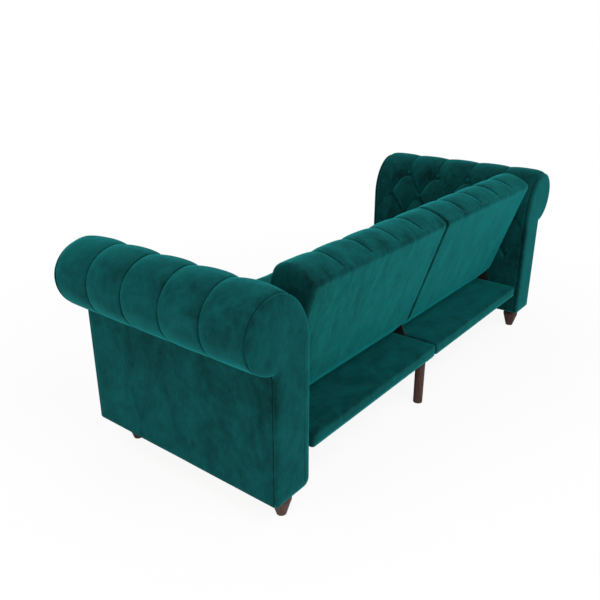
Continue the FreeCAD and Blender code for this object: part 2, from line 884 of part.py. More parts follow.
def back_frame():
    """Stiles and two rails inside a back half."""
    x0 = back_inner_end + back_end_wall
    x1 = back_half_length - back_end_wall
    core = prism(back_core(fit_gap), in_back(x0), vec(x1 - x0, 0, 0))
    top = core_top - back_rail_height
    foot = core_foot + back_rail_height
    front = -core_front
    rear = -core_rear
    pieces = [
        box(x0 + stile_thickness, x1 - stile_thickness, front, rear, top, core_top),
        box(x0 + stile_thickness, x1 - stile_thickness, front, rear, core_foot, foot),
    ]
    pitch = (x1 - x0 - stile_thickness) / (stile_count - 1)
    for k in range(stile_count):
        left = x0 + k * pitch
        at_end = k in (0, stile_count - 1)
        low = core_foot if at_end else foot
        high = core_top if at_end else top
        pieces.append(box(left, left + stile_thickness, front, rear, low, high))
    inner_hole = bar_x(turned_sides, bush_radius + running_fit, 0, x0 + stile_thickness + end_clearance, 0, 0)
    bolt_holes = arm_plate_bolt_holes(x1 - bolt_grip - end_clearance, x1 + end_clearance)
    fitted = [piece.common(core).cut([inner_hole] + bolt_holes) for piece in pieces]
    return recline(Part.makeCompound(fitted))


def back_rear_panel():
    """Flat rear panel with softened edges."""
    low = back_panel_start
    high = back_fold_reach - 2 * fit_gap
    panel = box(back_inner_end, back_half_length, -core_rear, back_rear_depth, low, high)
    rear_edges = [e for e in panel.Edges if e.BoundBox.YMin > back_rear_depth - fit_gap]
    return recline(panel.makeFillet(facing_edge, rear_edges))


# Hinge pieces

def hinge_web(x0, x1, eye_radius):
    """Upright plate from the deck's end to an eye round the pin, in the sofa's own frame."""
    low = deck_bottom + hinge_foot_margin
    high = deck_top - hinge_foot_margin
    half = hinge_foot_half_width
    y = pin_rear_offset
    neck = eye_radius * hinge_web_share
    corners = [(y - half, low), (y + half, low), (y + half, high), (y + neck, pin_height),
               (y - neck, pin_height), (y - half, high), (y - half, low)]
    plate = prism(lines(corners), lambda p: vec(x0, p[0], p[1]), vec(x1 - x0, 0, 0))
    return plate.fuse(bar_x(turned_sides, eye_radius, x0, x1, y, pin_height))


def hinge_plate():
    """Fixed outer hinge plate: joggled foot on the deck's end and a round ratchet drum."""
    low = deck_bottom + hinge_foot_margin
    high = deck_top - hinge_foot_margin
    half = hinge_foot_half_width
    y = pin_rear_offset
    foot = box(deck_half_length, hinge_plate_x, y - half, y + half, low, high)
    plate = hinge_web(hinge_plate_x, hinge_outer_x, hinge_drum_radius).fuse(foot)
    holes = hinge_bolt_holes(deck_half_length - end_clearance, hinge_outer_x + end_clearance)
    pin = rod_x(pin_radius + running_fit, deck_half_length, hinge_outer_x + end_clearance, y, pin_height)
    return plate.cut(holes + [pin])


def centre_hinge_plate():
    plate = hinge_web(-deck_inner, deck_inner, hinge_arm_eye)
    pin = rod_x(pin_radius + running_fit, -deck_half_length, deck_half_length, pin_rear_offset, pin_height)
    return plate.cut(hinge_bolt_holes(-deck_half_length, deck_half_length) + [pin])


def hinge_arm():
    """Moving arm of the outer hinge, bolted to the end of the back."""
    half = hinge_arm_width / 2
    end = hinge_arm_reach - half
    outer = arm_plate_x + hinge_arm_thickness
    bar = box(arm_plate_x, outer, -half, half, 0, end)
    eye = bar_x(turned_sides, hinge_arm_eye, arm_plate_x, outer, 0, 0)
    tip = bar_x(turned_sides, half, arm_plate_x, outer, 0, end)
    far = outer + end_clearance
    holes = arm_plate_bolt_holes(back_half_length, far)
    pin = pin_hole(pin_radius + running_fit, back_half_length, far)
    return recline(bar.fuse([eye, tip]).removeSplitter().cut(holes + [pin]))


def hinge_arm_bolts():
    seat = arm_plate_x + hinge_arm_thickness
    tip = back_half_length - back_end_wall - bolt_grip
    bolts = []
    for along in arm_plate_bolt_places():
        head = bolt_head_x(seat, seat + bolt_head_thickness, 0, along)
        bolts.append(bolt_x(small_bolt_radius, tip, seat, 0, along).fuse(head))
    return recline(Part.makeCompound(bolts))


def hinge_plate_bolts():
    tip = deck_rail_outer - deck_rail_width + end_clearance
    bolts = []
    for y in hinge_bolt_places():
        head = bolt_head_x(hinge_outer_x, hinge_outer_x + bolt_head_thickness, y, bolt_z)
        bolts.append(bolt_x(small_bolt_radius, tip, hinge_outer_x, y, bolt_z).fuse(head))
    return Part.makeCompound(bolts)


def outer_pivot_pin():
    """Headed pin from outside the fixed plate into the back's end."""
    tip = back_half_length - back_end_wall + end_clearance
    shank = rod_x(pin_radius, tip, hinge_outer_x, pin_rear_offset, pin_height)
    head_end = hinge_outer_x + pin_head_thickness
    return shank.fuse(bolt_x(pin_head_radius, hinge_outer_x, head_end, pin_rear_offset, pin_height))


def centre_pivot_pin():
    reach = back_inner_end + pin_bush_length
    return rod_x(pin_radius, -reach, reach, pin_rear_offset, pin_height)


def pivot_bush():
    """Plain bush through the inner stile."""
    end = back_inner_end + back_end_wall + stile_thickness
    sleeve = bar_x(turned_sides, bush_radius, back_inner_end + fit_gap, end, 0, 0)
    return recline(sleeve.cut(pin_hole(pin_radius + running_fit, 0, end + end_clearance)))


def left_pieces():
    """Every piece that the two sides share, as it is on the left."""
    return {
        "arm_front_board": arm_end_board(-1),
        "arm_rear_board": arm_end_board(1),
        "arm_rails": arm_rails(),
        "arm_outer_panel": arm_outer_panel(),
        "arm_padding": arm_padding(),
        "arm_buttons": arm_buttons(),
        "arm_front_facing": arm_facing(-1),
        "arm_rear_facing": arm_facing(1),
        "arm_base_board": arm_base_board(),
        "deck_frame": deck_frame(),
        "deck_cover": deck_cover(),
        "deck_dust_cover": deck_dust_cover(),
        "seat_cushion": seat_cushion(),
        "arm_brackets": arm_brackets(),
        "arm_bolts": arm_bolts(),
        "back_frame": back_frame(),
        "back_rear_panel": back_rear_panel(),
        "back_padding": back_padding(),
        "back_buttons": back_buttons(),
        "hinge_plate": hinge_plate(),
        "hinge_plate_bolts": hinge_plate_bolts(),
        "hinge_arm": hinge_arm(),
        "hinge_arm_bolts": hinge_arm_bolts(),
        "pivot_bush": pivot_bush(),
    }


def middle_pieces():
    """Pieces on the middle line, and the feet and their bolts."""
    bolts = foot_bolts()
    pin = outer_pivot_pin()
    pieces = {
        "centre_hinge_plate": centre_hinge_plate(),
        "pivot_pins": Part.makeCompound([pin, mirrored(pin), centre_pivot_pin()]),
        "deck_joining_bolts": deck_joining_bolts(),
        "centre_leg_plates": centre_leg_plates(),
        "foot_bolts": Part.makeCompound(bolts + [mirrored(bolt) for bolt in bolts]),
    }
    for end, y in centre_leg_places().items():
        pieces[end + "_centre_leg"] = centre_leg(y)
    for end, place in foot_places().items():
        foot = turned_foot(*place)
        pieces[end + "_left_foot"] = foot
        pieces[end + "_right_foot"] = mirrored(foot)
    return pieces


def main():
    os.makedirs("parts", exist_ok=True)
    pieces = middle_pieces()
    for name, shape in left_pieces().items():
        pieces["left_" + name] = shape
        pieces["right_" + name] = mirrored(shape)
    for name, shape in pieces.items():
        shape.exportStep("parts/" + name + ".step")


main()
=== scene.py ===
import bmesh
import bpy
import json
from math import acos, asin, cos, degrees, exp, pi, radians, sin, sqrt
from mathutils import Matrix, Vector, noise


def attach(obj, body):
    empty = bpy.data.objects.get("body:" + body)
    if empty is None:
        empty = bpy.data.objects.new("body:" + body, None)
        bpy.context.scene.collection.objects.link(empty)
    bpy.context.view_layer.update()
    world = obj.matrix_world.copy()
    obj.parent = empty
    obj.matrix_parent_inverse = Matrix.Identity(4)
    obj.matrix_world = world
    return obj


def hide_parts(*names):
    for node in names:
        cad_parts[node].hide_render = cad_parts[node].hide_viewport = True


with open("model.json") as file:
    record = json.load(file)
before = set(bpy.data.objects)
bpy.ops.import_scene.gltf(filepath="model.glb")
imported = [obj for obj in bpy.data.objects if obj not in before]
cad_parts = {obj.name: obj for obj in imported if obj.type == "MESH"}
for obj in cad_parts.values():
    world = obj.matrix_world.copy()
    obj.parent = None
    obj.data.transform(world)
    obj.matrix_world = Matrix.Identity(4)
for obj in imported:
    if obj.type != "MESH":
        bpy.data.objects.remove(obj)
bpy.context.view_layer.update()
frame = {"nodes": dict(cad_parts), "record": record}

MM = 0.001
sides = (("left", 1), ("right", -1))

# Sizes repeated from the part's source, in millimetres
facing_y = 418.0
inner_x, outer_x, panel_inner_x = 856.0, 1020.0, 1010.0
foot_height = 92.0
axis_x, axis_z = 1004.0, 672.0
roll_half_width, roll_rise = 126.0, 113.0
inside_half_width, inside_sweep_height = 148.0, 193.0
shoulder_z = 592.0
arm_corner_radius = 28.0
channel_count, end_softening, tuft_nub = 5, 0.12, 14.0
arm_rows = [732.0, 612.0, 492.0, 372.0]
back_rows = [380.0, 270.0, 160.0, 50.0]
arm_tuft_end, back_tuft_end = 330.0, 20.0
button_radius = 11.0
recline_angle = 18.5
pin_y, pin_z = 216.8, 330.0
back_x0, back_x1 = 4.0, 833.0
back_front, back_rear = 100.0, 65.0
fold_reach, crown_reach = 477.6, 488.0
crown_fall, crown_run = 63.0, 85.0
back_foot, back_foot_radius, back_foot_rear = 68.0, 30.0, 29.0
panel_start = 19.3
deck_lo, deck_hi = (2.0, -385.0, 205.5), (828.0, 419.5, 253.0)
seat_x0, seat_x1 = 3.0, 825.0
seat_front, seat_top, seat_bottom = -390.0, 430.0, 253.3
foot_x, front_foot_y, rear_foot_y = 935.0, -327.0, 376.0
leg_x, front_leg_y, rear_leg_y = 54.0, -347.5, 382.0

# Sizes of the sewing, in millimetres
arm_channel_depth, back_channel_depth = 4.0, 6.5
seam_crease_depth, crown_crease_depth, crease_width = 5.0, 4.0, 2.4
button_depth, pleat_depth = 27.0, 19.0
pleat_fold_depth, pleat_fold_width = 4.5, 3.2
pleat_straight_share = 0.2
button_seat = 22.0
arm_button_lifts = [1.5, 1.0, 2.5]
back_button_lifts = [6.0, 2.0, 4.0]
# Cords of painted shade in the seam creases: their radius, and how far the one round each facing lies in from
# its edge
shade_cord_radius, rim_shade_cord_inset = 1.5, 2.4

# Powers of the curves: across a channel, down to the first button, over a tuft, below the tufts, round the roll
valley_power, lead_power, puff_power, tail_power, roll_power = 3.2, 5, 1.9, 2.5, 1.5

# Sizes of the soft shapes over the solids, in millimetres, with turns in degrees
arm_proud, neck_proud = 10.0, 8.0
roll_puff, roll_side, roll_crest = 2.0, 3.5, 9.0
roll_end_length = 48.0
under_start, under_turn = 16.0, 60.0
tuck_depth, tuck_length = 5.0, 6.0
arm_inside_x, arm_inside_z = 889.0, 111.0
outer_panel_top, outer_panel_lap = 548.0, 4.0
outer_panel_edge, outer_panel_swell = 3.0, 2.0
fold_radius = 20.0
back_inner_edge, back_outer_edge = 10.0, 18.0
back_end_drop, back_end_length = 4.0, 24.0
deck_edge_radius = 11.0
seat_rear, seat_edge_radius = 95.0, 26.0
seat_lean_start, seat_lean_height = 330.0, 100.0
seat_lean, seat_rear_tuck = 40.0, 6.0
seat_fill_room, seat_fill_limit, seat_meeting_x = 9.0, 13.0, 1.0
fill_voxel, fill_held_height, fill_pressure, fill_frames = 9.5, 6.0, 4.0, 20

# Steps of the meshes along their outlines
roll_steps, lead_steps, puff_steps, tail_steps = 56, 16, 22, 24
panel_steps, fold_steps, crown_steps, front_steps = 36, 8, 10, 20


# Materials

def node_material(name):
    """New material with its shader, and a short way to add and join nodes."""
    mat = bpy.data.materials.new(name)
    mat.use_nodes = True
    tree = mat.node_tree
    shader = tree.nodes["Principled BSDF"]

    def add(kind, **sockets):
        node = tree.nodes.new(kind)
        for key, value in sockets.items():
            node.inputs[key.replace("_", " ")].default_value = value
        return node

    return mat, tree, shader, add


def ramp_node(tree, stops):
    """Colour ramp between two stops, each a place and a colour."""
    ramp = tree.nodes.new("ShaderNodeValToRGB")
    for element, (place, colour) in zip(ramp.color_ramp.elements, stops):
        element.position = place
        element.color = colour
    return ramp


def mapped(tree, add, scale, tilt=(0, 0, 0)):
    """Object coordinates turned by a tilt and stretched by a scale along each axis."""
    place = add("ShaderNodeTexCoord")
    mapping = add("ShaderNodeMapping")
    mapping.inputs["Scale"].default_value = scale
    mapping.inputs["Rotation"].default_value = [radians(t) for t in tilt]
    tree.links.new(place.outputs["Object"], mapping.inputs["Vector"])
    return mapping.outputs["Vector"]


def velvet(name, dark, light, streak, tilt, brushed):
    """Velvet: cloudy patches, brushed streaks and mottle, a grain of short pile and a strong sheen."""
    mat, tree, shader, add = node_material(name)
    link = tree.links.new
    patches = add("ShaderNodeTexNoise", Scale=1.0, Detail=6.0, Roughness=0.6, Distortion=1.4)
    link(mapped(tree, add, (7.0, 7.0, 6.0)), patches.inputs["Vector"])
    brush = add("ShaderNodeTexNoise", Scale=1.0, Detail=3.0, Roughness=0.5, Distortion=0.8)
    link(mapped(tree, add, streak, tilt), brush.inputs["Vector"])
    both = add("ShaderNodeMix")
    both.data_type = "FLOAT"
    both.inputs[0].default_value = brushed
    link(patches.outputs["Fac"], both.inputs[2])
    link(brush.outputs["Fac"], both.inputs[3])
    mottle = add("ShaderNodeTexNoise", Scale=1.0, Detail=5.0, Roughness=0.65, Distortion=0.5)
    link(mapped(tree, add, (48.0, 48.0, 34.0), tilt), mottle.inputs["Vector"])
    mixed = add("ShaderNodeMix")
    mixed.data_type = "FLOAT"
    mixed.inputs[0].default_value = 0.30
    link(both.outputs[0], mixed.inputs[2])
    link(mottle.outputs["Fac"], mixed.inputs[3])
    ramp = ramp_node(tree, [(0.38, dark), (0.62, light)])
    link(mixed.outputs[0], ramp.inputs["Fac"])
    pile = add("ShaderNodeTexNoise", Scale=900.0, Detail=2.0, Roughness=0.6)
    link(mapped(tree, add, (1.0, 1.0, 1.0)), pile.inputs["Vector"])
    grain = add("ShaderNodeMix")
    grain.data_type = "RGBA"
    grain.blend_type = "MULTIPLY"
    grain.inputs[0].default_value = 0.35
    link(ramp.outputs["Color"], grain.inputs[6])
    speck = ramp_node(tree, [(0.3, (0.6, 0.6, 0.6, 1)), (0.7, (1.25, 1.25, 1.25, 1))])
    link(pile.outputs["Fac"], speck.inputs["Fac"])
    link(speck.outputs["Color"], grain.inputs[7])
    link(grain.outputs[2], shader.inputs["Base Color"])
    bump = add("ShaderNodeBump", Strength=0.25, Distance=0.0012)
    link(pile.outputs["Fac"], bump.inputs["Height"])
    nap = add("ShaderNodeBump", Strength=0.32, Distance=0.008)
    link(mixed.outputs[0], nap.inputs["Height"])
    link(bump.outputs["Normal"], nap.inputs["Normal"])
    link(nap.outputs["Normal"], shader.inputs["Normal"])
    shader.inputs["Roughness"].default_value = 0.9
    shader.inputs["Specular IOR Level"].default_value = 0.05
    shader.inputs["Sheen Weight"].default_value = 1.0
    shader.inputs["Sheen Roughness"].default_value = 0.48
    shader.inputs["Sheen Tint"].default_value = (0.009, 0.315, 0.315, 1)
    return mat


def wood(name, dark, light, grain_scale, roughness, gloss=0.5):
    """Wood with a stretched grain."""
    mat, tree, shader, add = node_material(name)
    link = tree.links.new
    grain = add("ShaderNodeTexNoise", Scale=1.0, Detail=6.0, Roughness=0.6, Distortion=0.6)
    link(mapped(tree, add, grain_scale), grain.inputs["Vector"])
    ramp = ramp_node(tree, [(0.35, dark), (0.65, light)])
    link(grain.outputs["Fac"], ramp.inputs["Fac"])
    link(ramp.outputs["Color"], shader.inputs["Base Color"])
    bump = add("ShaderNodeBump", Strength=0.15, Distance=0.0006)
    link(grain.outputs["Fac"], bump.inputs["Height"])
    link(bump.outputs["Normal"], shader.inputs["Normal"])
    shader.inputs["Roughness"].default_value = roughness
    shader.inputs["Specular IOR Level"].default_value = gloss
    return mat


def metal(name, dark, light, roughness, metallic, scale, gloss=0.5):
    """Metal, plastic, paint, or the dark cord of painted shade in the seams, with a faint cloudiness."""
    mat, tree, shader, add = node_material(name)
    link = tree.links.new
    cloud = add("ShaderNodeTexNoise", Scale=scale, Detail=5.0, Roughness=0.6)
    link(mapped(tree, add, (1.0, 1.0, 1.0)), cloud.inputs["Vector"])
    ramp = ramp_node(tree, [(0.35, dark), (0.65, light)])
    link(cloud.outputs["Fac"], ramp.inputs["Fac"])
    link(ramp.outputs["Color"], shader.inputs["Base Color"])
    bump = add("ShaderNodeBump", Strength=0.08, Distance=0.0004)
    link(cloud.outputs["Fac"], bump.inputs["Height"])
    link(bump.outputs["Normal"], shader.inputs["Normal"])
    shader.inputs["Roughness"].default_value = roughness
    shader.inputs["Metallic"].default_value = metallic
    shader.inputs["Specular IOR Level"].default_value = gloss
    return mat


teal_dark = (0.0004, 0.0090, 0.0085, 1)
teal_light = (0.0021, 0.0500, 0.0490, 1)
back_dark = (0.0002, 0.0040, 0.0038, 1)
back_light = (0.0024, 0.0600, 0.0590, 1)
velvet_arm = velvet("velvet_arm", teal_dark, teal_light, (11.0, 6.0, 11.0), (0, 0, 0), 0.4)
velvet_panel = velvet("velvet_panel", teal_dark, teal_light, (9.0, 12.0, 6.0), (35, 0, 0), 0.45)
velvet_back = velvet("velvet_back", back_dark, back_light, (19.0, 8.0, 5.0), (0, 36, 0), 0.58)
velvet_button = velvet("velvet_button", teal_dark, teal_light, (60.0, 60.0, 60.0), (0, 0, 0), 0.4)
# Near-black teal cord laid in the seam creases: painted shade for the dark seam lines
shade_cord = metal("shade_cord", (0.0004, 0.0060, 0.0056, 1), (0.0007, 0.0100, 0.0095, 1), 0.9, 0.0, 1800.0, 0.05)
dark_wood = wood("dark_wood", (0.028, 0.011, 0.007, 1), (0.080, 0.032, 0.021, 1), (120.0, 120.0, 14.0),
                 0.48, 0.3)
plywood = wood("plywood", (0.38, 0.24, 0.12, 1), (0.56, 0.39, 0.22, 1), (8.0, 60.0, 60.0), 0.7)
black_steel = metal("black_steel", (0.010, 0.010, 0.011, 1), (0.018, 0.018, 0.019, 1), 0.45, 0.0, 300.0, 0.15)
zinc = metal("zinc", (0.42, 0.43, 0.45, 1), (0.62, 0.62, 0.60, 1), 0.35, 1.0, 90.0)
nylon = metal("nylon", (0.012, 0.012, 0.012, 1), (0.022, 0.022, 0.022, 1), 0.55, 0.0, 500.0)
lining = metal("lining", (0.008, 0.008, 0.009, 1), (0.017, 0.017, 0.018, 1), 0.9, 0.0, 1500.0)

cad_looks = {
    "plywood": plywood, "lining": lining, "painted_steel": black_steel,
    "steel": zinc, "bush_plastic": nylon, "dark_wood": dark_wood,
    "velvet": velvet_arm, "velvet_panel": velvet_panel, "velvet_button": velvet_button,
}
for entry in frame["record"]["subparts"]:
    node = frame["nodes"][entry["node"]]
    node.data.materials.clear()
    node.data.materials.append(cad_looks[entry["material_slot"]])


# Mesh helpers

def make_piece(name, points, faces, material, body, slot_name, replaced):
    """Smooth mesh piece from millimetre points that rides on a body and stands for CAD nodes."""
    mesh = bpy.data.meshes.new(name)
    mesh.from_pydata([Vector(p) * MM for p in points], [], faces)
    mesh.validate()
    shell = bmesh.new()
    shell.from_mesh(mesh)
    bmesh.ops.recalc_face_normals(shell, faces=shell.faces)
    shell.to_mesh(mesh)
    shell.free()
    for poly in mesh.polygons:
        poly.use_smooth = len(poly.vertices) <= 4
    mesh.materials.append(material)
    piece = bpy.data.objects.new(name, mesh)
    bpy.context.collection.objects.link(piece)
    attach(piece, body)
    if replaced:
        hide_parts(*replaced)
    return piece


def skin(rows):
    """Points and faces of a tube through rows of points, each row a closed loop, with its ends filled."""
    count = len(rows[0])
    points = [p for row in rows for p in row]
    faces = []
    for r in range(len(rows) - 1):
        for k in range(count):
            n = (k + 1) % count
            faces.append((r * count + k, r * count + n, (r + 1) * count + n, (r + 1) * count + k))
    faces.append(tuple(range(count - 1, -1, -1)))
    faces.append(tuple((len(rows) - 1) * count + k for k in range(count)))
    return points, faces


def joined(shapes):
    """Points and faces of several shapes as one."""
    points, faces = [], []
    for more, cells in shapes:
        base = len(points)
        points += more
        faces += [tuple(base + i for i in f) for f in cells]
    return points, faces


def flipped(points, faces, side):
    """The piece as it is on the left for side 1, or mirrored for side -1."""
    if side == 1:
        return points, faces
    return [(-p[0], p[1], p[2]) for p in points], [tuple(reversed(f)) for f in faces]


def span(start, end, count):
    """Even steps from start to end, both included."""
    return [start + (end - start) * k / count for k in range(count + 1)]


def wrinkle(p, size, amount):
    """Small even unevenness of stuffed cloth."""
    return amount * noise.noise(Vector(p) * (MM / size))


# Sewing shared by the arms and the back

# Distances from a seam, in millimetres, at which a channel gets a row of points
near_seam = [0.0, 1.0, 2.0, 3.2, 5.0, 7.5, 11.0, 15.5, 21.5, 29.0, 39.0, 51.0, 64.0, 76.0]


def channel_columns(start, end):
    """Places across the channels: (place, blend, scale of the sewing, distance from the seam)."""
    pitch = (end - start) / channel_count
    half = pitch / 2
    columns = []
    for k in range(channel_count):
        rising = end_softening if k == 0 else 1.0
        falling = end_softening if k == channel_count - 1 else 1.0
        middle = start + (k + 0.5) * pitch
        for d in near_seam:
            columns.append((middle - half + d, d / half, rising + (1 - rising) * d / half, d))
        columns.append((middle, 1.0, 1.0, half))
        for d in near_seam[:0:-1]:
            columns.append((middle + half - d, d / half, falling + (1 - falling) * d / half, d))
    return columns + [(end, 0.0, end_softening, 0.0)]


def zigzag(rows, k, blend):
    """Place of pleat k, which runs from a button in one row to a button in the next."""
    toward = blend if k % 2 == 0 else 1 - blend
    bowed = 1 - cos(toward * pi / 2)
    toward = pleat_straight_share * toward + (1 - pleat_straight_share) * bowed
    return rows[k] + (rows[k + 1] - rows[k]) * toward + tuft_nub * (toward - 0.5)


def first_pit(rows, blend):
    """Place where a channel ends: at a button, or lower beside it."""
    return zigzag(rows, 0, blend) + tuft_nub * (1 - blend * 0.9)


def sewn_depth(blend, scale):
    """Depth of the pleats: greatest at the buttons."""
    return scale * (pleat_depth + (button_depth - pleat_depth) * (2 * blend - 1) ** 2)


def seam_inset(depth, blend, scale, d):
    """Depth of a channel seam: a broad valley with a narrow stitched crease."""
    return scale * (depth * (1 - blend) ** valley_power + seam_crease_depth * exp(-(d / crease_width) ** 2))


def tuft_profile(rows, blend, scale, start, seam, last, proud):
    """List of (place, inset) down a tufted face: the end of a channel, two rows of tufts, the flat below."""
    depth = sewn_depth(blend, scale)
    pleats = [zigzag(rows, k, blend) for k in range(3)]
    pit = first_pit(rows, blend)
    profile = []
    for part in span(0, 1, lead_steps)[1:]:
        profile.append((start + (pit - start) * part, seam * (1 - part) + depth * part ** lead_power))
    for k in range(2):
        width = 1 - blend if k % 2 == 0 else blend
        swell = depth * width * (2 - width)
        for part in span(0, 1, puff_steps)[:-1]:
            place = pleats[k] + (pleats[k + 1] - pleats[k]) * part
            gap = min(part, 1 - part) * abs(pleats[k + 1] - pleats[k])
            fold = pleat_fold_depth * scale * exp(-(gap / pleat_fold_width) ** 2) * min(1.0, width * 3)
            full = 1 - abs(2 * part - 1) ** puff_power
            profile.append((place, depth - (swell + proud * width * scale) * full + fold))
    for part in span(0, 1, tail_steps):
        share = 1 - abs(2 * min(part, 0.5) - 1) ** tail_power
        profile.append((pleats[2] + (last - pleats[2]) * part, depth * (1 - share) * (1 - part)))
    return profile


# Arms

def roll_point(angle, inset):
    """Point (x, z) of the roll's outside, from its underside (angle below 0) to its crest (90)."""
    rise = roll_rise if angle > 0 else roll_half_width
    turn = radians(angle)
    return (axis_x + (roll_half_width - inset) * cos(turn), axis_z + (rise - inset) * sin(turn))


def sweep_point(angle, inset):
    """Point (x, z) of the sweep from the crest (90) down to the shoulder inside the arm (0)."""
    turn = radians(angle)
    across = (inside_half_width - inset) * cos(turn)
    return (axis_x - across, shoulder_z + (inside_sweep_height - inset) * sin(turn))


def inside_point(height, inset):
    """Point (x, z) of the arm's inside face at a height."""
    if height <= shoulder_z:
        return (inner_x + inset, height)
    return sweep_point(degrees(asin(min(1.0, (height - shoulder_z) / inside_sweep_height))), inset)


def roll_start(inset, right):
    """Angle at which the roll's underside meets the upright at x = right."""
    return -degrees(acos((right - axis_x) / (roll_half_width - inset)))


def corner_points(inset):
    """Points (x, z) of the rounded lower corner inside the arm."""
    radius = arm_corner_radius - inset
    left, low = inner_x + inset, foot_height + inset
    turns = [radians(t) for t in span(0, 90, 6)]
    return [(left + radius * (1 - cos(t)), low + radius * (1 - sin(t))) for t in turns]


def arm_section(y, blend, scale, d):
    """One loop of the arm's cover: roll, channel end, tufts, lower face, and a plain closed inside."""
    from_end = facing_y - abs(y)
    tuck = tuck_depth * exp(-(from_end / tuck_length) ** 2)
    seam = seam_inset(arm_channel_depth, blend, scale, d) + tuck
    plump = sqrt(1 - (1 - min(1.0, from_end / roll_end_length)) ** 2)
    channel = scale * (1 - (1 - blend) ** 2)
    points = []
    first_angle = roll_start(tuck, panel_inner_x)
    for angle in span(first_angle, 90, roll_steps):
        under = min(1.0, max(0.0, (angle - first_angle - under_start) / under_turn)) ** roll_power
        full = roll_puff * channel * under
        full += plump * (roll_side + roll_crest * max(0.0, sin(radians(angle)))) * under
        points.append(roll_point(angle, tuck + (seam - tuck) * under - full))
    pit_angle = degrees(asin((first_pit(arm_rows, blend) - shoulder_z) / inside_sweep_height))
    # The end of the channel follows the sweep, so its places in the profile aren't used
    profile = tuft_profile(arm_rows, blend, scale, 0.0, seam, arm_tuft_end, arm_proud)
    for k, (place, inset) in enumerate(profile):
        if k < lead_steps:
            part = (k + 1) / lead_steps
            neck = neck_proud * part ** 2 * (1 - part) * 27 / 4
            full = channel * (roll_puff + neck) * (1 - part ** 3)
            full += plump * (roll_side + roll_crest) * (1 - part) ** roll_power
            points.append(sweep_point(90 + (pit_angle - 90) * part, inset + tuck * 0.5 - full))
        else:
            points.append(inside_point(place, inset + tuck))
    for height in span(arm_tuft_end, foot_height + arm_corner_radius, 10)[1:-1]:
        points.append((inner_x + tuck, height))
    points += [(px + tuck * 0.5, pz) for px, pz in corner_points(0)]
    points += [(arm_inside_x, foot_height), (arm_inside_x, arm_inside_z), (panel_inner_x, arm_inside_z)]
    loop = []
    for px, pz in points:
        shift = wrinkle((px, y, pz), size=0.11, amount=1.0)
        loop.append((px, y, pz + (shift if pz > foot_height + arm_corner_radius else 0.0)))
    return loop


def arm_cover(name, side):
    """Cover of an arm: channelled roll and tufted inside face as one piece."""
    rows = [arm_section(*column) for column in channel_columns(-facing_y, facing_y)]
    points, faces = flipped(*skin(rows), side)
    piece = make_piece(name + "_arm_cover", points, faces, velvet_arm, "base", "velvet",
                       [name + "_arm_padding"])


def facing_loop(inset):
    """Outline (x, z) of a facing, drawn in by an inset."""
    right = outer_x - inset
    first_angle = roll_start(inset, right)
    points = [roll_point(a, inset) for a in span(first_angle, 90, 60)]
    points += [sweep_point(a, inset) for a in span(90, 0, 40)[1:]]
    points += [(inner_x + inset, z) for z in span(shoulder_z, foot_height + arm_corner_radius, 24)[1:-1]]
    points += corner_points(inset)
    points += [(x, foot_height + inset) for x in span(inner_x + arm_corner_radius, right, 8)[1:]]
    points += [(right, z) for z in span(foot_height + inset, roll_point(first_angle, inset)[1], 24)[1:-1]]
    return points


# Layers of a facing from its rear to its flat middle: how far it stands out, and how far it is drawn in
facing_layers = [(-4.0, 3.0), (2.0, 1.6), (5.0, 1.4), (7.5, 2.2), (9.4, 3.8), (10.8, 6.2), (12.0, 10.0),
                 (13.2, 18.0), (14.0, 30.0)]


def arm_facing(name, side, end, word):
    """Flat scroll panel with a rolled edge and a slightly full middle."""
    rows = [[(side * px, end * (facing_y + out), pz) for px, pz in facing_loop(inset)]
            for out, inset in facing_layers]
    piece = make_piece(name + "_arm_" + word + "_facing_cover", *skin(rows), velvet_panel, "base",
                       "velvet_panel", [name + "_arm_" + word + "_facing"])


def shade_cords_along(paths, across, radius):
    """Points and faces of thin cords along paths that lie in planes square to a direction; they carry the
    painted shade of the seams.
    """
    shapes = []
    for path in paths:
        rows = []
        for k, place in enumerate(path):
            run = Vector(path[min(k + 1, len(path) - 1)]) - Vector(path[max(k - 1, 0)])
            aside = run.cross(across).normalized()
            rows.append([tuple(Vector(place) + across * (radius * cos(t)) + aside * (radius * sin(t)))
                         for t in (0.0, pi / 3, 2 * pi / 3, pi, 4 * pi / 3, 5 * pi / 3)])
        shapes.append(skin(rows))
    return joined(shapes)


def arm_shade_cords(name, side):
    """Dark cords of painted shade in the channel seams and in the crease round each facing."""
    across = Vector((0, 1, 0))
    seen = slice(2, roll_steps + 10)
    seams = [arm_section(y, 0.0, 1.0, 0.0)[seen] for y in seam_places(-facing_y, facing_y)]
    rims = []
    for y in (-facing_y, facing_y):
        loop = [(px, y, pz) for px, pz in facing_loop(rim_shade_cord_inset)]
        rims.append(loop + loop[:1])
    points, faces = joined([shade_cords_along(seams, across, shade_cord_radius), shade_cords_along(rims, across, shade_cord_radius)])
    points, faces = flipped(points, faces, side)
    make_piece(name + "_arm_shade_cords", points, faces, shade_cord, "base", "velvet", [])


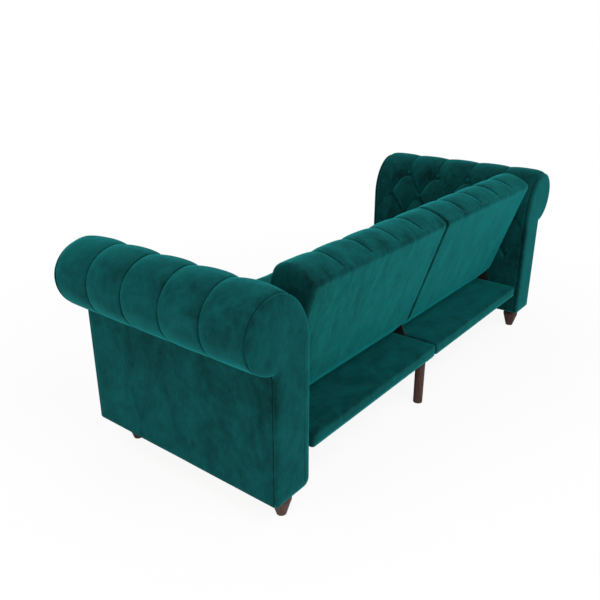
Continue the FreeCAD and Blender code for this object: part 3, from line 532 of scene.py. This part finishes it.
def round_box(lo, hi, radius, counts):
    """Points and faces of a box with rounded edges, as a grid that is dense in the roundings."""
    axes = []
    for k in range(3):
        turn = [radius * (1 - cos(radians(t))) for t in (0, 22, 45, 67)]
        low = [lo[k] + t for t in turn]
        high = [hi[k] - t for t in turn[::-1]]
        axes.append(low + span(lo[k] + radius, hi[k] - radius, counts[k]) + high)
    sizes = [len(a) - 1 for a in axes]
    index = {}
    points = []
    faces = []

    def corner(i, j, k):
        key = (i, j, k)
        if key not in index:
            p = Vector((axes[0][i], axes[1][j], axes[2][k]))
            core = Vector(min(max(p[a], lo[a] + radius), hi[a] - radius) for a in range(3))
            reach = p - core
            index[key] = len(points)
            points.append(tuple(core + reach.normalized() * radius) if reach.length > 1e-6 else tuple(p))
        return index[key]

    for axis in range(3):
        a, b = [k for k in range(3) if k != axis]
        for level in (0, sizes[axis]):
            for i in range(sizes[a]):
                for j in range(sizes[b]):
                    quad = []
                    for da, db in ((0, 0), (1, 0), (1, 1), (0, 1)):
                        key = [0, 0, 0]
                        key[axis] = level
                        key[a] = i + da
                        key[b] = j + db
                        quad.append(corner(*key))
                    outward = (level > 0) == (axis != 1)
                    faces.append(tuple(quad) if outward else tuple(reversed(quad)))
    return points, faces


def arm_outer_panel(name, side):
    """Flat outside of the arm, slightly full over its board."""
    lo = (panel_inner_x - outer_panel_lap, -facing_y, foot_height)
    hi = (outer_x, facing_y, outer_panel_top)
    points, faces = round_box(lo, hi, outer_panel_edge, (2, 60, 40))
    swelled = []
    for x, y, z in points:
        u = (y - lo[1]) / (hi[1] - lo[1]) * 2 - 1
        v = (z - lo[2]) / (hi[2] - lo[2]) * 2 - 1
        full = outer_panel_swell * (1 - u ** 6) * (1 - v ** 6) + wrinkle((x, y, z), size=0.16, amount=0.7)
        swelled.append((x + full if x > outer_x - outer_panel_edge / 2 else x, y, z))
    points, faces = flipped(swelled, faces, side)
    piece = make_piece(name + "_arm_outer_cover", points, faces, velvet_panel, "base", "velvet_panel",
                       [name + "_arm_outer_panel"])


# Buttons

# Rings of a covered button from its rim to its top: how much less than its radius, and their height
button_rings = [(1.6, 0.0), (0.3, 1.6), (0.0, 3.4), (0.7, 5.4), (2.6, 7.2), (5.6, 8.4), (8.8, 8.9)]
button_sides, button_turn, gather_count, gather_depth = 24, 0.7, 6, 0.02


def dome_button(centre, normal, turn):
    """Covered button: a full dome with a tucked rim and gathered cloth, as points and faces."""
    up = normal.to_track_quat("Z", "Y")
    rows = []
    for less, height in button_rings:
        row = []
        for k in range(button_sides):
            angle = 2 * pi * k / button_sides + turn
            r = (button_radius - less) * (1 + gather_depth * sin(gather_count * angle + turn))
            row.append(tuple(centre + up @ Vector((r * cos(angle), r * sin(angle), height))))
        rows.append(row)
    return skin(rows)


def button_group(name, side, seats, body, node):
    """All buttons of one padding as one piece."""
    domes = [dome_button(centre, normal, button_turn * k) for k, (centre, normal) in enumerate(seats)]
    points, faces = flipped(*joined(domes), side)
    make_piece(name, points, faces, velvet_button, body, "velvet_button", [node])


def seam_places(start, end):
    """Places of the seams between the channels."""
    pitch = (end - start) / channel_count
    return [start + k * pitch for k in range(1, channel_count)]


def middle_places(start, end):
    """Places of the middles of the channels."""
    pitch = (end - start) / channel_count
    return [start + (k + 0.5) * pitch for k in range(channel_count)]


def row_places(start, end, k):
    """Places of the buttons in row k: on the seams in even rows, between them in odd ones."""
    return seam_places(start, end) if k % 2 == 0 else middle_places(start, end)


def arm_seats():
    """Centre and direction of each button on the left arm."""
    seats = []
    for k in range(3):
        for y in row_places(-facing_y, facing_y, k):
            cx, cz = inside_point(arm_rows[k], button_seat - arm_button_lifts[k])
            ox, oz = inside_point(arm_rows[k], 0)
            seats.append((Vector((cx, y, cz)), Vector((ox - cx, 0, oz - cz)).normalized()))
    return seats


# Back

def in_back(u, w, x):
    """Point of a back half from u along it, w in front of its pin line, and x."""
    a = radians(recline_angle)
    return (x, pin_y + u * sin(a) - w * cos(a), pin_z + u * cos(a) + w * sin(a))


def back_profile(blend, scale, d, drop):
    """Loop (along, across) of a back half: rear panel, fold, crown, tufts, foot and chamfer."""
    seam = seam_inset(back_channel_depth, blend, scale, d) + drop
    lowered = min(seam, crown_reach - fold_reach - 1.0)
    points = [(u, -back_rear) for u in span(panel_start, fold_reach - fold_radius, panel_steps)]
    for turn in span(0, 90, fold_steps)[1:]:
        points.append((fold_reach - fold_radius * (1 - sin(radians(turn))),
                       fold_radius * (1 - cos(radians(turn))) - back_rear))
    for part in span(0, 1, crown_steps)[1:]:
        rise = (crown_reach - lowered - fold_reach) * (1 - (1 - part) ** 2)
        crease = crown_crease_depth * exp(-(d / crease_width) ** 2) * scale * min(1.0, part * 4)
        points.append((fold_reach + rise - crease, (part - 1) * (back_rear - fold_radius)))
    for turn in span(90, 0, front_steps)[1:]:
        along = crown_reach - crown_fall + (crown_fall - lowered) * sin(radians(turn))
        points.append((along, back_front - crown_run + (crown_run - seam) * cos(radians(turn))))
    tufts = tuft_profile(back_rows, blend, scale, crown_reach - crown_fall, seam, back_tuft_end, 0.0)
    for place, inset in tufts:
        points.append((place, back_front - inset))
    for u in span(back_tuft_end, back_foot_radius - back_foot, 5)[1:-1]:
        points.append((u, back_front))
    for turn in span(0, 90, 8):
        u = back_foot_radius * (1 - sin(radians(turn))) - back_foot
        points.append((u, back_front - back_foot_radius * (1 - cos(radians(turn)))))
    points += [(-back_foot, w) for w in span(back_front - back_foot_radius, -back_foot_rear, 8)[1:]]
    for part in span(0, 1, 8)[1:-1]:
        points.append((-back_foot + (panel_start + back_foot) * part,
                       -back_foot_rear - (back_rear - back_foot_rear) * part))
    return points


def drawn_in(points, amount):
    """The loop moved inward by an amount, square to its own line."""
    count = len(points)
    moved = []
    for k in range(count):
        a, b = points[k - 2], points[(k + 2) % count]
        run = Vector((b[0] - a[0], b[1] - a[1])).normalized()
        moved.append((points[k][0] - run[1] * amount, points[k][1] + run[0] * amount))
    return moved


def back_cover(name, side):
    """Cover of a back half with its rear panel, rounded over at both ends."""
    rows = []
    for x, blend, scale, d in channel_columns(back_x0, back_x1):
        from_end = min(x - back_x0, back_x1 - x)
        edge = back_inner_edge if x - back_x0 < back_x1 - x else back_outer_edge
        drop = back_end_drop * max(0.0, 1 - from_end / back_end_length) ** 2
        loop = back_profile(blend, scale, d, drop)
        if from_end < edge:
            loop = drawn_in(loop, edge * (1 - sqrt(1 - (1 - from_end / edge) ** 2)))
        rows.append([in_back(u, w, x) for u, w in loop])
    points, faces = skin(rows)
    points = [(x, y + wrinkle((x, y, z), size=0.13, amount=0.9), z) for x, y, z in points]
    points, faces = flipped(points, faces, side)
    piece = make_piece(name + "_back_cover", points, faces, velvet_back, "back_" + name, "velvet",
                       [name + "_back_padding", name + "_back_rear_panel"])


def back_shade_cords(name, side):
    """Dark cords of painted shade in the channel seams, from the fold over the crown to the first buttons."""
    first = panel_steps + 1 + fold_steps
    last = first + crown_steps + front_steps + 10
    loop = back_profile(0.0, 1.0, 0.0, 0.0)[first:last]
    seams = [[in_back(u, w, x) for u, w in loop] for x in seam_places(back_x0, back_x1)]
    points, faces = flipped(*shade_cords_along(seams, Vector((1, 0, 0)), shade_cord_radius), side)
    make_piece(name + "_back_shade_cords", points, faces, shade_cord, "back_" + name, "velvet", [])


def back_seats():
    """Centre and direction of each button on the left back half."""
    seats = []
    a = radians(recline_angle)
    normal = Vector((0, -cos(a), sin(a)))
    for k in range(3):
        for x in row_places(back_x0, back_x1, k):
            w = back_front - button_seat + back_button_lifts[k]
            seats.append((Vector(in_back(back_rows[k], w, x)), normal))
    return seats


# Deck and seat

def deck_cover(name, side):
    """Wrapped deck with rounded upper edges and a flat, square underside."""
    low = (deck_lo[0], deck_lo[1], deck_lo[2] - deck_edge_radius)
    points, faces = round_box(low, deck_hi, deck_edge_radius, (40, 40, 3))
    soft = []
    for x, y, z in points:
        level = z + (wrinkle((x, y, z), size=0.2, amount=0.8) if z > deck_hi[2] - 2 else 0.0)
        soft.append((x, y, max(level, deck_lo[2] + 0.1)))
    points, faces = flipped(soft, faces, side)
    piece = make_piece(name + "_deck_wrap", points, faces, velvet_panel, "base", "velvet_panel",
                       [name + "_deck_cover"])


def seat_shape(less):
    """Left seat cushion before it is filled: a box with soft edges whose rear leans like the back."""
    lo = (seat_x0, seat_front + less * 0.4, seat_bottom)
    hi = (seat_x1, seat_rear - less, seat_top - less)
    points, faces = round_box(lo, hi, seat_edge_radius, (50, 30, 8))
    shaped = []
    for x, y, z in points:
        rise = max(0.0, (z - seat_lean_start) / seat_lean_height)
        share = (y - seat_front) / (seat_rear - seat_front)
        shaped.append((x, y + share * (seat_lean * rise - seat_rear_tuck), z))
    return shaped, faces


def filled(points, faces, limit):
    """The cover blown up by a cloth simulation with its underside held, no point moved past a limit in mm."""
    mesh = bpy.data.meshes.new("seat_fill")
    mesh.from_pydata([Vector(p) * MM for p in points], [], faces)
    blank = bpy.data.objects.new("seat_fill", mesh)
    bpy.context.collection.objects.link(blank)
    remesh = blank.modifiers.new("remesh", "REMESH")
    remesh.mode = "VOXEL"
    remesh.voxel_size = fill_voxel * MM
    whole = bpy.data.meshes.new_from_object(blank.evaluated_get(bpy.context.evaluated_depsgraph_get()))
    blank.modifiers.clear()
    blank.data = whole
    start = [v.co.copy() for v in whole.vertices]
    lowest = min(p.z for p in start)
    held = blank.vertex_groups.new(name="held")
    held.add([k for k, p in enumerate(start) if p.z < lowest + fill_held_height * MM], 1.0, "REPLACE")
    cloth = blank.modifiers.new("cloth", "CLOTH")
    cloth.settings.quality = 5
    cloth.settings.mass = 0.3
    cloth.settings.use_pressure = True
    cloth.settings.uniform_pressure_force = fill_pressure
    cloth.settings.vertex_group_mass = "held"
    cloth.settings.effector_weights.gravity = 0.0
    for step in range(1, fill_frames + 1):
        bpy.context.scene.frame_set(step)
    blown = bpy.data.meshes.new_from_object(blank.evaluated_get(bpy.context.evaluated_depsgraph_get()))
    moved = []
    for old, vertex in zip(start, blown.vertices):
        shift = vertex.co - old
        if shift.length > limit * MM:
            shift *= limit * MM / shift.length
        moved.append(tuple((old + shift) / MM))
    cells = [tuple(poly.vertices) for poly in blown.polygons]
    bpy.data.objects.remove(blank)
    bpy.context.scene.frame_set(1)
    return moved, cells


def seat_cushions():
    """Two seat cushions, the right one a mirror of the left, pressed flat where they meet."""
    points, faces = filled(*seat_shape(seat_fill_room), seat_fill_limit)
    points = [(max(x, seat_meeting_x), y, z) for x, y, z in points]
    for name, side in sides:
        piece = make_piece(name + "_seat_pad", *flipped(points, faces, side), velvet_back, "base", "velvet",
                           [name + "_seat_cushion"])
        smooth = piece.modifiers.new("smooth", "SUBSURF")
        smooth.levels = smooth.render_levels = 1


# Turned wood

turned_sides = 48


def lathe(name, rings, x, y, node):
    """Turned piece from rings of radius and height."""
    turns = [2 * pi * k / turned_sides for k in range(turned_sides)]
    rows = [[(x + r * cos(t), y + r * sin(t), z) for t in turns] for r, z in rings]
    points, faces = skin(rows)
    make_piece(name, points, faces, dark_wood, "base", "dark_wood", [node])


foot_rings = [
    (15.2, 0.0), (16.6, 0.6), (17.0, 2.0), (21.6, 17.0), (26.6, 34.0), (31.4, 50.5), (32.6, 53.6),
    (33.8, 57.5), (34.5, 62.5), (34.3, 67.0), (33.3, 71.0), (31.2, 74.6), (28.2, 76.8), (27.0, 77.4),
    (27.0, 80.4), (28.0, 81.2), (30.6, 82.6), (31.8, 84.4), (32.0, 86.0), (32.0, 91.4), (31.4, 91.9),
]
leg_rings = [(17.6, 0.0), (18.7, 0.5), (19.0, 1.6), (19.2, 40.0), (19.6, 120.0), (20.0, 200.0), (20.0, 201.5)]

for name, side in sides:
    arm_cover(name, side)
    arm_facing(name, side, -1, "front")
    arm_facing(name, side, 1, "rear")
    arm_outer_panel(name, side)
    arm_shade_cords(name, side)
    button_group(name + "_arm_button_domes", side, arm_seats(), "base", name + "_arm_buttons")
    back_cover(name, side)
    back_shade_cords(name, side)
    button_group(name + "_back_button_domes", side, back_seats(), "back_" + name, name + "_back_buttons")
    deck_cover(name, side)
    lathe("front_" + name + "_turned_foot", foot_rings, side * foot_x, front_foot_y, "front_" + name + "_foot")
    lathe("rear_" + name + "_turned_foot", foot_rings, side * foot_x, rear_foot_y, "rear_" + name + "_foot")
seat_cushions()
lathe("rear_round_leg", leg_rings, leg_x, rear_leg_y, "rear_centre_leg")
lathe("front_round_leg", leg_rings, leg_x, front_leg_y, "front_centre_leg")


# Stage, light and camera

def stage_material(name):
    """White floor that the camera sees near white, with the object's soft shadow kept."""
    mat = bpy.data.materials.new(name)
    mat.use_nodes = True
    tree = mat.node_tree
    tree.nodes.clear()
    out = tree.nodes.new("ShaderNodeOutputMaterial")
    mix = tree.nodes.new("ShaderNodeMixShader")
    matte = tree.nodes.new("ShaderNodeBsdfDiffuse")
    glow = tree.nodes.new("ShaderNodeEmission")
    matte.inputs["Color"].default_value = (0.9, 0.9, 0.9, 1)
    glow.inputs["Strength"].default_value = 1.0
    path = tree.nodes.new("ShaderNodeLightPath")
    place = tree.nodes.new("ShaderNodeTexCoord")
    away = tree.nodes.new("ShaderNodeVectorMath")
    away.operation = "LENGTH"
    spread = tree.nodes.new("ShaderNodeMapRange")
    spread.inputs["From Min"].default_value = 0.9
    spread.inputs["From Max"].default_value = 2.4
    spread.inputs["To Min"].default_value = 0.90
    spread.inputs["To Max"].default_value = 1.0
    share = tree.nodes.new("ShaderNodeMath")
    share.operation = "MULTIPLY"
    tree.links.new(place.outputs["Object"], away.inputs[0])
    tree.links.new(away.outputs["Value"], spread.inputs["Value"])
    tree.links.new(spread.outputs[0], share.inputs[1])
    tree.links.new(path.outputs["Is Camera Ray"], share.inputs[0])
    tree.links.new(share.outputs[0], mix.inputs[0])
    tree.links.new(matte.outputs[0], mix.inputs[1])
    tree.links.new(glow.outputs[0], mix.inputs[2])
    tree.links.new(mix.outputs[0], out.inputs[0])
    return mat


bpy.ops.mesh.primitive_plane_add(size=40)
floor = bpy.context.object
floor.name = "floor"
floor.data.materials.append(stage_material("floor_white"))


def area_light(name, place, target, size, power):
    """Soft lamp that the camera doesn't see."""
    data = bpy.data.lights.new(name, "AREA")
    data.shape = "RECTANGLE"
    data.size, data.size_y = size
    data.energy = power
    lamp = bpy.data.objects.new(name, data)
    lamp.location = place
    lamp.visible_camera = False
    lamp.rotation_euler = (Vector(target) - Vector(place)).to_track_quat("-Z", "Y").to_euler()
    bpy.context.collection.objects.link(lamp)


area_light("key", (1.2, 3.2, 3.6), (0.2, 0.0, 0.4), (2.6, 2.6), 140)
area_light("fill", (3.4, 0.2, 1.1), (0.9, 0.0, 0.4), (1.8, 1.8), 34)
area_light("top", (-0.6, -1.4, 3.8), (0.0, 0.0, 0.5), (3.0, 3.0), 28)


def studio_world():
    """Soft even light from all round, seen as plain white by the camera and in reflections."""
    world = bpy.data.worlds.new("studio")
    bpy.context.scene.world = world
    world.use_nodes = True
    tree = world.node_tree
    tree.nodes.clear()
    out = tree.nodes.new("ShaderNodeOutputWorld")
    mix = tree.nodes.new("ShaderNodeMixShader")
    soft = tree.nodes.new("ShaderNodeBackground")
    soft.inputs["Strength"].default_value = 0.40
    soft.inputs["Color"].default_value = (0.95, 0.97, 1.0, 1)
    white = tree.nodes.new("ShaderNodeBackground")
    white.inputs["Color"].default_value = (1, 1, 1, 1)
    path = tree.nodes.new("ShaderNodeLightPath")
    first = tree.nodes.new("ShaderNodeMath")
    first.operation = "MAXIMUM"
    second = tree.nodes.new("ShaderNodeMath")
    second.operation = "MAXIMUM"
    tree.links.new(path.outputs["Is Camera Ray"], first.inputs[0])
    tree.links.new(path.outputs["Is Glossy Ray"], first.inputs[1])
    tree.links.new(first.outputs[0], second.inputs[0])
    tree.links.new(path.outputs["Is Transmission Ray"], second.inputs[1])
    tree.links.new(second.outputs[0], mix.inputs[0])
    tree.links.new(soft.outputs[0], mix.inputs[1])
    tree.links.new(white.outputs[0], mix.inputs[2])
    tree.links.new(mix.outputs[0], out.inputs[0])


studio_world()

camera_data = bpy.data.cameras.new("camera")
camera_data.lens = 40.33
camera_data.sensor_width = 36
camera = bpy.data.objects.new("camera", camera_data)
azimuth, elevation = radians(128.02), radians(22.16)
back = Vector((sin(azimuth) * cos(elevation), -cos(azimuth) * cos(elevation), sin(elevation)))
camera.location = (2.2666, 1.4923, 1.4426)
camera.rotation_euler = (-back).to_track_quat("-Z", "Y").to_euler()
bpy.context.collection.objects.link(camera)
bpy.context.scene.camera = camera
bpy.context.scene.view_settings.view_transform = "Standard"
